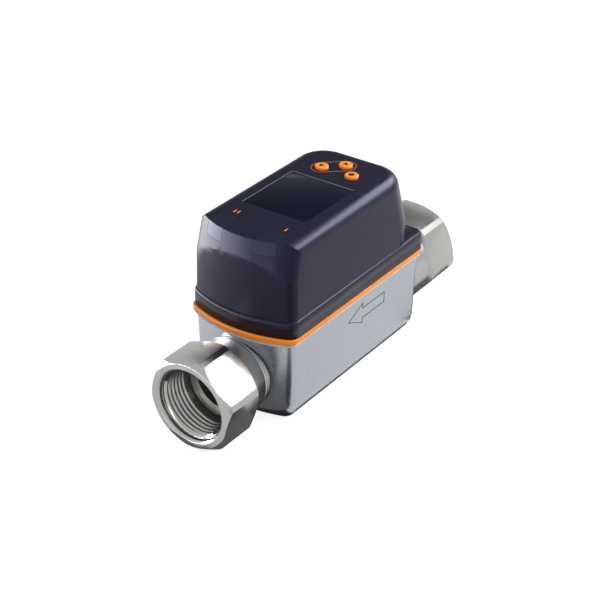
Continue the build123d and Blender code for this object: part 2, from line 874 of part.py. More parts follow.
with BuildPart() as board_spacers:
    with BuildSketch(Plane.XY.offset(main_board_top)):
        with Locations(*spacer_places):
            RegularPolygon(spacer_flats / 2, 6, major_radius=False)
    extrude(amount=display_board_level - main_board_top)
    with BuildSketch(Plane.XY.offset(main_board_top)):
        with Locations(*spacer_places):
            Circle(m25_r)
    extrude(amount=-m25_length)
    with BuildSketch(Plane.XY.offset(display_board_level)):
        with Locations(*spacer_places):
            Circle(m25_r + fit_gap)
    extrude(amount=-m25_length, mode=Mode.SUBTRACT)
board_spacers.part.label = "board_spacers"
export_step(board_spacers.part, "parts/board_spacers.step")

with BuildPart() as display_board:
    with BuildSketch(Plane.XY.offset(display_board_level)):
        with Locations((display_board_x, 0)):
            Rectangle(display_board_length, display_board_width)
        with Locations(*spacer_places):
            Circle(m25_r + free_gap, mode=Mode.SUBTRACT)
    extrude(amount=board_thickness)
display_board.part.label = "display_board"
export_step(display_board.part, "parts/display_board.step")

with BuildPart() as display_board_screws:
    with Locations(*spacer_places):
        add(pan_screw(display_board_top, m25_length, m25_r, m25_head_r, m25_head))
display_board_screws.part.label = "display_board_screws"
export_step(display_board_screws.part, "parts/display_board_screws.step")

with BuildPart() as cable_sockets:
    with BuildSketch(Plane.XY.offset(main_board_top)):
        with Locations((socket_x, socket_y)):
            Rectangle(socket_length, socket_width)
    extrude(amount=socket_height)
    with BuildSketch(Plane.XY.offset(display_board_level)):
        with Locations((socket_x, socket_y)):
            Rectangle(socket_length, socket_width)
    extrude(amount=-socket_height)
cable_sockets.part.label = "cable_sockets"
export_step(cable_sockets.part, "parts/cable_sockets.step")

with BuildPart() as display_cable:
    with BuildSketch(Plane.XY.offset(main_board_top + socket_height)):
        with Locations((socket_x, socket_y)):
            Rectangle(cable_width, cable_thickness)
    extrude(amount=display_board_level - main_board_top - 2 * socket_height)
display_cable.part.label = "display_cable"
export_step(display_cable.part, "parts/display_cable.step")

with BuildPart() as display_module:
    with BuildSketch(Plane.XY.offset(display_board_top)):
        with Locations((module_x, 0)):
            Rectangle(module_length, module_width)
    extrude(amount=hood_ceiling - display_board_top - 3 * free_gap)
display_module.part.label = "display_module"
export_step(display_module.part, "parts/display_module.step")

with BuildPart() as key_switches:
    with BuildSketch(Plane.XY.offset(display_board_top)):
        with Locations(*button_places):
            Rectangle(switch_size, switch_size)
    extrude(amount=switch_height)
    with BuildSketch(Plane.XY.offset(display_board_top)):
        with Locations(*button_places):
            Circle(switch_key_r)
    extrude(amount=hood_ceiling - button_flange - button_travel - 2 * fit_gap - display_board_top)
key_switches.part.label = "key_switches"
export_step(key_switches.part, "parts/key_switches.step")

with BuildPart() as led_chips:
    with BuildSketch(Plane.XY.offset(display_board_top)):
        with Locations((guide_leg_x, -guide_y), (guide_leg_x, guide_y)):
            Rectangle(led_length, led_width)
    extrude(amount=led_height)
led_chips.part.label = "led_chips"
export_step(led_chips.part, "parts/led_chips.step")

# Plug connector

plug_plane = Plane.XZ.offset(-plug_pad_y)
plug_pins = [(plug_x + u, plug_z + v) for u, v in ((plug_pin_circle_r, 0), (0, plug_pin_circle_r))]
plug_pins += [(plug_x - u, plug_z - v) for u, v in ((plug_pin_circle_r, 0), (0, plug_pin_circle_r))]

with BuildPart() as connector_shell:
    with BuildSketch(plug_plane):
        with Locations((plug_x, plug_z)):
            Circle(plug_flange_r)
    extrude(amount=plug_flange)
    with BuildSketch(plug_plane):
        with Locations((plug_x, plug_z)):
            Circle(plug_seal_circle_r + plug_seal_r)
            Circle(plug_seal_circle_r - plug_seal_r, mode=Mode.SUBTRACT)
    extrude(amount=2 * plug_seal_r, mode=Mode.SUBTRACT)
    with BuildSketch(plug_plane.offset(plug_flange)):
        with Locations((plug_x, plug_z)):
            Circle(plug_thread_r)
    extrude(amount=plug_pad_y - plug_flange - plug_end_y)
    with BuildSketch(plug_plane):
        with Locations((plug_x, plug_z)):
            Circle(plug_stem_r)
    extrude(amount=plug_pad_y - plug_stem_end_y)
    with BuildSketch(Plane.XZ.offset(-plug_end_y)):
        with Locations((plug_x, plug_z)):
            Circle(plug_mouth_r)
    extrude(amount=plug_end_y - plug_stem_end_y, mode=Mode.SUBTRACT)
    with BuildSketch(Plane.XZ.offset(-plug_seat_y)):
        with Locations((plug_x, plug_z)):
            Circle(plug_seat_r)
    extrude(amount=plug_seat_y - plug_stem_end_y, mode=Mode.SUBTRACT)
connector_shell.part.label = "connector_shell"
export_step(connector_shell.part, "parts/connector_shell.step")

with BuildPart() as connector_insert:
    with BuildSketch(Plane.XZ.offset(-plug_seat_y)):
        with Locations((plug_x, plug_z)):
            Circle(plug_seat_r - fit_gap)
        with Locations(*plug_pins):
            Circle(plug_pin_r + fit_gap, mode=Mode.SUBTRACT)
    extrude(amount=plug_seat_y - plug_insert_end_y)
connector_insert.part.label = "connector_insert"
export_step(connector_insert.part, "parts/connector_insert.step")

with BuildPart() as connector_pins:
    with BuildSketch(Plane.XZ.offset(-plug_pin_tip_y)):
        with Locations(*plug_pins):
            Circle(plug_pin_r)
    extrude(amount=plug_pin_tip_y - plug_board_y - plug_board_thickness)
connector_pins.part.label = "connector_pins"
export_step(connector_pins.part, "parts/connector_pins.step")

with BuildPart() as connector_o_ring:
    with Locations(Plane.XZ.offset(plug_seal_r - plug_pad_y).location * Location((plug_x, plug_z, 0))):
        Torus(plug_seal_circle_r, plug_seal_r)
connector_o_ring.part.label = "connector_o_ring"
export_step(connector_o_ring.part, "parts/connector_o_ring.step")

with BuildPart() as connector_nut:
    with BuildSketch(Plane.XZ.offset(-plug_inner_y)):
        with Locations((plug_x, plug_z)):
            RegularPolygon(plug_nut_flats / 2, 6, major_radius=False)
            Circle(plug_stem_r + fit_gap, mode=Mode.SUBTRACT)
    extrude(amount=-plug_nut_height)
connector_nut.part.label = "connector_nut"
export_step(connector_nut.part, "parts/connector_nut.step")

with BuildPart() as connector_board:
    with BuildSketch(Plane.XZ.offset(-plug_board_y)):
        with Locations((plug_x, main_board_top)):
            Rectangle(plug_board_width, plug_board_height, align=(Align.CENTER, Align.MIN))
        with Locations(*plug_pins):
            Circle(plug_pin_r + fit_gap, mode=Mode.SUBTRACT)
    extrude(amount=-plug_board_thickness)
connector_board.part.label = "connector_board"
export_step(connector_board.part, "parts/connector_board.step")
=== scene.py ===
"""Looks of the in-line vortex flow sensor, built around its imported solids."""

import json
import logging
from dataclasses import dataclass
from enum import Enum
from math import atan2, cos, pi, radians, sin, tan

import bmesh
import bpy
from mathutils import Matrix, Vector


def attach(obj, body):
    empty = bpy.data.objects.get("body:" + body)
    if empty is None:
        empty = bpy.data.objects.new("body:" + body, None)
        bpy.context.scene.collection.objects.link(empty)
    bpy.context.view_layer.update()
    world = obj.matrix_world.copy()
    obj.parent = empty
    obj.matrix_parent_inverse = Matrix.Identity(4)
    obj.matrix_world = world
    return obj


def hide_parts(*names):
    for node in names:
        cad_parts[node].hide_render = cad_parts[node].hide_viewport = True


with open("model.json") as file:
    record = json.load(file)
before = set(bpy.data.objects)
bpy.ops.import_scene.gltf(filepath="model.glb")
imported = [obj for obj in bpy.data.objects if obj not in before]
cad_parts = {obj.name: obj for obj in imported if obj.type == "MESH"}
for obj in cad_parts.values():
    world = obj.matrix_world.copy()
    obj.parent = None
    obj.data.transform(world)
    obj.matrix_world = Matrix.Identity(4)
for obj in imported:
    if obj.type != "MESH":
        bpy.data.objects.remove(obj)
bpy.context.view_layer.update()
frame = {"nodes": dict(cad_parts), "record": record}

log = logging.getLogger("flow_sensor")

Pair = tuple[float, float]
Triple = tuple[float, float, float]

MM = 0.001
AXIS_HEIGHT = 17.6
SMOOTH_ANGLE = radians(28)
FACET_ANGLE = radians(12)
FLAT_ANGLE = radians(0.4)
BEVEL_ANGLE = radians(40)
MERGE_DISTANCE = 0.0005
BEVEL_SEGMENTS = 2
PATTERN_DARK = 0.3
PATTERN_LIGHT = 0.7
WHITE = (1.0, 1.0, 1.0)
LAVENDER = (0.70, 0.66, 1.0)


class Grain(Enum):
    """Which way the marks of a metal finish run."""

    STRAIGHT = "straight"
    TURNED = "turned"


class Graph:
    """A material's node tree, with short calls for the nodes that the finishes use."""

    def __init__(self, name: str) -> None:
        """Start an empty material with a Principled shader.

        Args:
            name: Name of the material.
        """
        self.material = bpy.data.materials.new(name)
        self.material.use_nodes = True
        self.tree = self.material.node_tree
        self.shader = self.tree.nodes["Principled BSDF"]
        self.coords = self.tree.nodes.new("ShaderNodeTexCoord").outputs["Object"]

    def node(self, kind: str, **sockets: object) -> bpy.types.Node:
        """Add a node and fill its input sockets.

        Args:
            kind: Blender's node type.
            sockets: A value or another node's output for each socket, under the socket's name
                with underscores for spaces, or under its number after an underscore.

        Returns:
            The new node.
        """
        made = self.tree.nodes.new(kind)
        for key, value in sockets.items():
            numbered = key[0] == "_"
            target = made.inputs[int(key[1:])] if numbered else made.inputs[key.replace("_", " ")]
            self.feed(target, value)
        return made

    def feed(self, target: bpy.types.NodeSocket, value: object) -> None:
        """Give a socket a value or a link.

        Args:
            target: The socket to fill.
            value: A plain value or another node's output.
        """
        if isinstance(value, bpy.types.NodeSocket):
            self.tree.links.new(value, target)
        else:
            target.default_value = value

    def mapped(self, scale: Triple) -> bpy.types.NodeSocket:
        """Stretch the object coordinates.

        Args:
            scale: Factor along each axis.

        Returns:
            The stretched coordinates.
        """
        return self.node("ShaderNodeMapping", Vector=self.coords, Scale=scale).outputs[0]

    def noise(
        self, vector: bpy.types.NodeSocket, scale: float, detail: float = 3.0
    ) -> bpy.types.NodeSocket:
        """Add a noise pattern.

        Args:
            vector: Coordinates that it is laid out in.
            scale: How fine it is.
            detail: How many finer layers it has.

        Returns:
            The pattern's grey value.
        """
        made = self.node("ShaderNodeTexNoise", Vector=vector, Scale=scale, Detail=detail)
        return made.outputs["Fac"]

    def between(
        self, value: bpy.types.NodeSocket, low: float, high: float
    ) -> bpy.types.NodeSocket:
        """Spread a pattern's middle values over a range.

        Args:
            value: The pattern, about 0.5 in its middle.
            low: Result at the pattern's dark end.
            high: Result at the pattern's light end.

        Returns:
            The spread value.
        """
        spread = self.node(
            "ShaderNodeMapRange", Value=value, From_Min=PATTERN_DARK, From_Max=PATTERN_LIGHT,
            To_Min=low, To_Max=high,
        )
        return spread.outputs[0]

    def mix(
        self, amount: bpy.types.NodeSocket, first: Triple, second: Triple
    ) -> bpy.types.NodeSocket:
        """Blend two colours by a pattern.

        Args:
            amount: The pattern.
            first: Colour where the pattern is 0.
            second: Colour where the pattern is 1.

        Returns:
            The blended colour.
        """
        made = self.tree.nodes.new("ShaderNodeMix")
        made.data_type = "RGBA"
        self.feed(made.inputs["Factor"], amount)
        made.inputs[6].default_value = (*first, 1.0)
        made.inputs[7].default_value = (*second, 1.0)
        return made.outputs[2]

    def clouds(
        self, pattern: bpy.types.NodeSocket, colour: Triple, variation: float
    ) -> bpy.types.NodeSocket:
        """Let a colour vary with a pattern.

        Args:
            pattern: The pattern.
            colour: The middle colour.
            variation: Share by which it gets darker and lighter.

        Returns:
            The varied colour.
        """
        return self.mix(pattern, shade(colour, 1 - variation), shade(colour, 1 + variation))

    def bump(self, height: bpy.types.NodeSocket, strength: float, distance: float) -> None:
        """Raise the surface by a pattern.

        Args:
            height: The pattern.
            strength: Share of the effect.
            distance: Height of the pattern, in metres.
        """
        made = self.node("ShaderNodeBump", Strength=strength, Distance=distance, Height=height)
        self.tree.links.new(made.outputs[0], self.shader.inputs["Normal"])

    def shown(self) -> bpy.types.NodeSocket:
        """Tell the rays that show a surface from those that light other surfaces with it.

        Returns:
            1 for camera, glossy and transmission rays, and 0 for the rest.
        """
        path = self.node("ShaderNodeLightPath")
        seen = self.node(
            "ShaderNodeMath", _0=path.outputs["Is Camera Ray"], _1=path.outputs["Is Glossy Ray"]
        )
        made = self.node(
            "ShaderNodeMath", _0=seen.outputs[0], _1=path.outputs["Is Transmission Ray"]
        )
        return made.outputs[0]

    def set(self, **sockets: object) -> None:
        """Fill sockets of the Principled shader.

        Args:
            sockets: A value or a node's output for each socket, with underscores for spaces.
        """
        for key, value in sockets.items():
            self.feed(self.shader.inputs[key.replace("_", " ")], value)


def shade(colour: Triple, factor: float) -> Triple:
    """Make a colour lighter or darker.

    Args:
        colour: The colour.
        factor: What each channel is multiplied by.

    Returns:
        The new colour, with no channel over 1.
    """
    return tuple(min(1.0, c * factor) for c in colour)


@dataclass(frozen=True)
class MouldedPlastic:
    """Plastic with a fine moulded grain."""

    name: str
    colour: Triple
    roughness: float = 0.4
    specular: float = 0.5
    grain: float = 0.02
    variation: float = 0.06
    sheen: Triple = WHITE
    spread: float = 0.07
    cloud_scale: float = 60.0
    grain_scale: float = 2600.0
    grain_detail: float = 2.0
    depth: float = 0.0001

    def material(self) -> bpy.types.Material:
        """Make the finish as a material.

        Returns:
            The material.
        """
        graph = Graph(self.name)
        cloud = graph.noise(graph.coords, self.cloud_scale)
        fine = graph.noise(graph.coords, self.grain_scale, self.grain_detail)
        rough = self.roughness
        graph.set(
            Base_Color=graph.clouds(cloud, self.colour, self.variation),
            Roughness=graph.between(fine, rough * (1 - self.spread), rough * (1 + self.spread)),
            Specular_IOR_Level=self.specular,
            Specular_Tint=(*self.sheen, 1.0),
        )
        if self.grain:
            graph.bump(fine, self.grain, self.depth)
        return graph.material


@dataclass(frozen=True)
class BrushedMetal:
    """Metal with straight grinding lines along one axis, or turned lines round the pipe."""

    name: str
    colour: Triple
    roughness: float = 0.25
    lines: float = 0.03
    grain: Triple = (40.0, 900.0, 900.0)
    run: Grain = Grain.STRAIGHT
    cloud: float = 0.08
    spread: float = 0.2
    cloud_scale: float = 70.0
    line_detail: float = 4.0
    ring_scale: float = 1300.0
    depth: float = 0.0002

    def material(self) -> bpy.types.Material:
        """Make the finish as a material.

        Returns:
            The material.
        """
        graph = Graph(self.name)
        if self.run is Grain.TURNED:
            pattern = self.rings(graph)
        else:
            pattern = graph.noise(graph.mapped(self.grain), 1.0, self.line_detail)
        cloud = graph.noise(graph.coords, self.cloud_scale)
        rough = self.roughness
        graph.set(
            Base_Color=graph.clouds(cloud, self.colour, self.cloud),
            Metallic=1.0,
            Roughness=graph.between(pattern, rough * (1 - self.spread), rough * (1 + self.spread)),
        )
        if self.lines:
            graph.bump(pattern, self.lines, self.depth)
        return graph.material

    def rings(self, graph: Graph) -> bpy.types.NodeSocket:
        """Lay out the lines that a turning tool leaves round the pipe axis.

        Args:
            graph: The material's graph.

        Returns:
            The pattern's grey value.
        """
        axis = (0.0, 0.0, -AXIS_HEIGHT * MM)
        moved = graph.node("ShaderNodeVectorMath", _0=graph.coords, _1=axis)
        split = graph.node("ShaderNodeSeparateXYZ", Vector=moved.outputs[0])
        flat = graph.node("ShaderNodeCombineXYZ", Y=split.outputs["Y"], Z=split.outputs["Z"])
        length = graph.node("ShaderNodeVectorMath", _0=flat.outputs[0])
        length.operation = "LENGTH"
        rings = graph.node(
            "ShaderNodeCombineXYZ", X=split.outputs["X"], Y=length.outputs["Value"]
        )
        return graph.noise(rings.outputs[0], self.ring_scale)


@dataclass(frozen=True)
class Rubber:
    """Soft seal material."""

    name: str
    colour: Triple
    roughness: float = 0.6
    specular: float = 0.35
    variation: float = 0.15
    spread: float = 0.1
    speck_scale: float = 900.0
    speck_detail: float = 4.0
    grain: float = 0.05
    depth: float = 0.0001

    def material(self) -> bpy.types.Material:
        """Make the finish as a material.

        Returns:
            The material.
        """
        graph = Graph(self.name)
        speck = graph.noise(graph.coords, self.speck_scale, self.speck_detail)
        rough = self.roughness
        graph.set(
            Base_Color=graph.clouds(speck, self.colour, self.variation),
            Roughness=graph.between(speck, rough * (1 - self.spread), rough * (1 + self.spread)),
            Specular_IOR_Level=self.specular,
        )
        graph.bump(speck, self.grain, self.depth)
        return graph.material


@dataclass(frozen=True)
class SolderMask:
    """Circuit board with faint copper tracks under its mask."""

    name: str
    colour: Triple
    roughness: float = 0.35
    track_scale: float = 260.0
    track_width: float = 0.06
    field_light: float = 1.15
    track_light: float = 1.7
    grain: float = 0.05
    depth: float = 0.0001

    def material(self) -> bpy.types.Material:
        """Make the finish as a material.

        Returns:
            The material.
        """
        graph = Graph(self.name)
        tracks = graph.node(
            "ShaderNodeTexBrick", Vector=graph.coords, Scale=self.track_scale,
            Mortar_Size=self.track_width, Color1=(*self.colour, 1.0),
            Color2=(*shade(self.colour, self.field_light), 1.0),
            Mortar=(*shade(self.colour, self.track_light), 1.0),
        )
        graph.set(Base_Color=tracks.outputs["Color"], Roughness=self.roughness)
        graph.bump(tracks.outputs["Fac"], self.grain, self.depth)
        return graph.material


FINISHES = (
    BrushedMetal(
        "satin_metal", (0.355, 0.372, 0.405), 0.27, 0.0, (260.0, 260.0, 260.0),
        cloud=0.015, spread=0.05,
    ),
    BrushedMetal("port_steel", (0.37, 0.37, 0.36), 0.25, 0.015, run=Grain.TURNED, spread=0.1),
    BrushedMetal("clip_steel", (0.56, 0.56, 0.56), 0.20, 0.03),
    BrushedMetal("screw_steel", (0.55, 0.55, 0.55), 0.28, 0.05),
    BrushedMetal("plated_brass", (0.60, 0.59, 0.56), 0.22, 0.04, (900.0, 60.0, 900.0)),
    BrushedMetal("gold_contact", (0.80, 0.58, 0.22), 0.22, 0.03),
    BrushedMetal("wire_copper", (0.70, 0.36, 0.20), 0.30, 0.03),
    MouldedPlastic("tube_plastic", (0.022, 0.020, 0.018), 0.45),
    MouldedPlastic("sensor_plastic", (0.015, 0.015, 0.015), 0.45),
    MouldedPlastic("frame_plastic", (0.010, 0.009, 0.017), 0.33, 0.24, 0.003, sheen=LAVENDER),
    MouldedPlastic("hood_plastic", (0.0075, 0.0078, 0.022), 0.31, 0.20, 0.002, sheen=LAVENDER),
    MouldedPlastic("accent_plastic", (0.90, 0.27, 0.018), 0.35, 0.3, variation=0.03),
    MouldedPlastic("button_plastic", (0.90, 0.27, 0.035), 0.35, 0.3, variation=0.03),
    MouldedPlastic("window_glass", (0.005, 0.006, 0.018), 0.14, 0.08, 0.0, 0.0),
    MouldedPlastic("light_guide", (0.008, 0.012, 0.028), 0.24, 0.22, 0.0, 0.02, LAVENDER),
    MouldedPlastic("black_plastic", (0.012, 0.012, 0.014), 0.45),
    MouldedPlastic("led_plastic", (0.80, 0.76, 0.60), 0.4),
    MouldedPlastic("cable_film", (0.55, 0.20, 0.03), 0.3),
    Rubber("gasket", (0.62, 0.59, 0.68), 0.4),
    Rubber("seal_rubber", (0.010, 0.010, 0.010), 0.55),
    SolderMask("circuit_board", (0.010, 0.075, 0.030)),
    MouldedPlastic("etched_line", (0.035, 0.036, 0.042), 0.7, 0.05),
    MouldedPlastic("symbol_brown", (0.060, 0.018, 0.006), 0.5, 0.2),
    MouldedPlastic("printed_orange", (0.85, 0.22, 0.03), 0.5, 0.2),
    MouldedPlastic("printed_line", (0.62, 0.17, 0.06), 0.5, 0.2),
    # painted highlight: light colour of the strip along the window recess edges
    MouldedPlastic("painted_edge_highlight", (0.22, 0.22, 0.27), 0.5, 0.2),
)


class Workshop:
    """Materials by slot, and the calls that finish a piece and hang it on its moving body."""

    def __init__(self) -> None:
        """Make every finish once and give each solid its own."""
        self.materials = {finish.name: finish.material() for finish in FINISHES}
        record = frame["record"]
        self.slot_of = {part["node"]: part["material_slot"] for part in record["subparts"]}
        self.body_of = {
            node: body for body, nodes in record["behaviour"]["bodies"].items() for node in nodes
        }
        for node, slot in self.slot_of.items():
            materials = frame["nodes"][node].data.materials
            materials.clear()
            materials.append(self.materials[slot])

    def piece(
        self, name: str, bm: bmesh.types.BMesh, finish: str, body: str, slot: str,
        crease: float = SMOOTH_ANGLE,
    ) -> bpy.types.Object:
        """Turn a bmesh in millimetres into a finished piece on its body.

        Args:
            name: Name of the piece.
            bm: Its mesh in millimetres, which is freed.
            finish: Name of its finish.
            body: The moving body that it rides on.
            slot: The record's slot that it belongs to; not used.
            crease: Angle from which an edge is shaded sharp.

        Returns:
            The finished object.
        """
        bmesh.ops.scale(bm, vec=(MM, MM, MM), verts=bm.verts)
        mesh = bpy.data.meshes.new(name)
        bm.to_mesh(mesh)
        bm.free()
        mesh.shade_smooth()
        mesh.set_sharp_from_angle(angle=crease)
        mesh.materials.clear()
        mesh.materials.append(self.materials[finish])
        made = bpy.data.objects.new(name, mesh)
        bpy.context.scene.collection.objects.link(made)
        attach(made, body)
        log.info("%s: %d faces", name, len(mesh.polygons))
        return made

    def merged(self, node: str) -> bmesh.types.BMesh:
        """Copy a solid's mesh with its double points merged.

        Args:
            node: The solid.

        Returns:
            The copy, in millimetres.
        """
        bm = bmesh.new()
        bm.from_mesh(frame["nodes"][node].data)
        bmesh.ops.scale(bm, vec=(1 / MM,) * 3, verts=bm.verts)
        bmesh.ops.remove_doubles(bm, verts=bm.verts, dist=MERGE_DISTANCE)
        return bm

    def refine(
        self, node: str, bevel: float = 0.0, crease: float = SMOOTH_ANGLE,
        bevel_angle: float = BEVEL_ANGLE,
    ) -> bpy.types.Object:
        """Stand a smooth-shaded copy in for a solid.

        Args:
            node: The solid.
            bevel: Width of a bevel on its sharp edges, in millimetres.
            crease: Angle from which an edge is shaded sharp.
            bevel_angle: Angle from which an edge gets the bevel.

        Returns:
            The piece that replaces the solid.
        """
        bm = self.merged(node)
        if bevel:
            bevel_edges(bm, bevel, bevel_angle)
        slot = self.slot_of[node]
        made = self.piece(f"{node}_finish", bm, slot, self.body_of[node], slot, crease)
        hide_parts(node)
        return made


def bevel_edges(bm: bmesh.types.BMesh, width: float, angle: float) -> None:
    """Join flat facets, and round the sharp edges by a small width.

    Args:
        bm: The mesh, in millimetres.
        width: Width of the bevel.
        angle: Angle from which an edge is sharp.
    """
    bmesh.ops.dissolve_limit(bm, angle_limit=FLAT_ANGLE, verts=bm.verts, edges=bm.edges)
    sharp = [e for e in bm.edges if e.is_manifold and e.calc_face_angle() > angle]
    bmesh.ops.bevel(
        bm, geom=sharp, offset=width, offset_type="OFFSET", segments=BEVEL_SEGMENTS, profile=0.5,
        affect="EDGES", clamp_overlap=True, material=-1,
    )


def raise_faces(bm: bmesh.types.BMesh, height: float) -> None:
    """Turn flat faces into a closed shape by lifting them off the plane.

    Args:
        bm: The flat mesh.
        height: How far it is lifted.
    """
    raised = bmesh.ops.extrude_face_region(bm, geom=bm.faces[:])
    moved = [g for g in raised["geom"] if isinstance(g, bmesh.types.BMVert)]
    bmesh.ops.translate(bm, vec=(0, 0, height), verts=moved)
    bmesh.ops.recalc_face_normals(bm, faces=bm.faces)


def ribbon(outline: list[Pair], width: float, height: float) -> bmesh.types.BMesh:
    """Make a closed line of even width that follows an outline.

    Args:
        outline: Corners in the plane, in millimetres.
        width: Width of the line, inwards from the corners.
        height: How far it stands above the plane.

    Returns:
        The line as a closed mesh.
    """
    bm = bmesh.new()
    face = bm.faces.new([bm.verts.new((x, y, 0.0)) for x, y in outline])
    face.normal_update()
    bmesh.ops.inset_individual(bm, faces=[face], thickness=width, use_even_offset=True)
    bmesh.ops.delete(bm, geom=[face], context="FACES_ONLY")
    raise_faces(bm, height)
    return bm


def plate(outline: list[Pair], height: float) -> bmesh.types.BMesh:
    """Make a thin flat plate that stands on the plane.

    Args:
        outline: Its corners in the plane, in millimetres.
        height: Its thickness.

    Returns:
        The plate as a closed mesh.
    """
    bm = bmesh.new()
    bm.faces.new([bm.verts.new((x, y, 0.0)) for x, y in outline])
    raise_faces(bm, height)
    return bm


def around(centre: Pair, radius: float, count: int, start: float = 0.0) -> list[Pair]:
    """Spread points round a circle.

    Args:
        centre: The circle's centre.
        radius: The circle's radius.
        count: How many points there are.
        start: Angle of the first point.

    Returns:
        The points in order.
    """
    x, y = centre
    angles = [start + 2 * pi * k / count for k in range(count)]
    return [(x + radius * cos(a), y + radius * sin(a)) for a in angles]


def subtract(target: bpy.types.Object, cutter: bmesh.types.BMesh) -> None:
    """Cut a closed shape, given in millimetres, out of a finished piece.

    Args:
        target: The piece to cut.
        cutter: The shape to take away, which is freed.
    """
    bmesh.ops.scale(cutter, vec=(MM, MM, MM), verts=cutter.verts)
    mesh = bpy.data.meshes.new("cutter")
    cutter.to_mesh(mesh)
    cutter.free()
    tool = bpy.data.objects.new("cutter", mesh)
    bpy.context.scene.collection.objects.link(tool)
    cut = target.modifiers.new("cut", "BOOLEAN")
    cut.operation = "DIFFERENCE"
    cut.solver = "EXACT"
    cut.object = tool
    evaluated = target.evaluated_get(bpy.context.evaluated_depsgraph_get())
    shaped = bpy.data.meshes.new_from_object(evaluated)
    target.modifiers.clear()
    target.data = shaped
    bpy.data.objects.remove(tool)
    shaped.shade_smooth()
    shaped.set_sharp_from_angle(angle=SMOOTH_ANGLE)
    log.info("%s cut: %d faces", target.name, len(shaped.polygons))


@dataclass
class FlowBody:
    """The satin body with its seal, ring, snap rings and flow arrow."""

    shop: Workshop
    foot_half_width: float = 20.2
    rim_half_width: float = 20.9
    height: float = 33.4
    gasket_bevel: float = 0.2
    ring_bevel: float = 0.25
    clip_bevel: float = 0.06
    arrow_tip: Pair = (7.65, 26.0)
    arrow_head_x: float = -1.3
    arrow_head_half: float = 4.2
    arrow_shaft_half: float = 2.15
    arrow_tail_x: float = -15.3
    line_width: float = 0.22
    line_depth: float = 0.06

    def build(self) -> None:
        """Make the body's pieces."""
        self.shop.refine("lower_housing")
        self.shop.refine("housing_gasket", self.gasket_bevel)
        self.shop.refine("accent_ring", self.ring_bevel)
        self.shop.refine("outlet_clip", self.clip_bevel)
        self.shop.refine("inlet_clip", self.clip_bevel)
        self.arrow()

    def arrow(self) -> None:
        """Make the outline of the flow arrow and lay it on the sloping side wall."""
        tip_x, level = self.arrow_tip
        outline = [
            (tip_x, level),
            (self.arrow_head_x, level + self.arrow_head_half),
            (self.arrow_head_x, level + self.arrow_shaft_half),
            (self.arrow_tail_x, level + self.arrow_shaft_half),
            (self.arrow_tail_x, level - self.arrow_shaft_half),
            (self.arrow_head_x, level - self.arrow_shaft_half),
            (self.arrow_head_x, level - self.arrow_head_half),
        ]
        bm = ribbon(outline, self.line_width, self.line_depth)
        slope = (self.rim_half_width - self.foot_half_width) / self.height
        side = (0, slope, 1, self.foot_half_width)
        wall = Matrix(((1, 0, 0, 0), side, (0, 1, 0, 0), (0, 0, 0, 1)))
        bmesh.ops.transform(bm, matrix=wall, verts=bm.verts)
        bmesh.ops.recalc_face_normals(bm, faces=bm.faces)
        self.shop.piece("flow_arrow", bm, "etched_line", "sensor", "satin_metal")


@dataclass
class PortThread:
    """One hexagon port with its inner pipe thread cut in."""

    shop: Workshop
    node: str
    mouth_x: float
    inward: int
    pitch: float = 1.814
    crest_radius: float = 12.06
    root_radius: float = 13.25
    flank_angle: float = radians(27.5)
    clearance: float = 0.5
    start: float = 1.2
    end: float = 12.7
    steps_per_turn: int = 72
    weld: float = 1e-5
    bevel: float = 0.12
    bevel_angle: float = radians(25)

    def cutter(self) -> bmesh.types.BMesh:
        """Sweep the thread's groove along its helix.

        Returns:
            The groove as one closed mesh.
        """
        inner = self.crest_radius - self.clearance
        half = (self.root_radius - inner) * tan(self.flank_angle)
        bm = bmesh.new()
        corners = [(-half, inner), (0.0, self.root_radius), (half, inner)]
        place = self.mouth_x + self.inward * self.start
        face = bm.faces.new([bm.verts.new((place + x, 0.0, AXIS_HEIGHT + r)) for x, r in corners])
        turns = (self.end - self.start) / self.pitch
        bmesh.ops.spin(
            bm, geom=[face, *face.edges, *face.verts], cent=(0, 0, AXIS_HEIGHT), axis=(1, 0, 0),
            dvec=(self.inward * self.pitch / self.steps_per_turn, 0, 0),
            angle=self.inward * 2 * pi * turns, steps=round(turns * self.steps_per_turn),
            use_merge=False,
        )
        bmesh.ops.remove_doubles(bm, verts=bm.verts, dist=self.weld)
        bmesh.ops.recalc_face_normals(bm, faces=bm.faces)
        return bm

    def build(self) -> None:
        """Cut the thread into a copy of the port."""
        port = self.shop.refine(self.node, self.bevel, bevel_angle=self.bevel_angle)
        subtract(port, self.cutter())


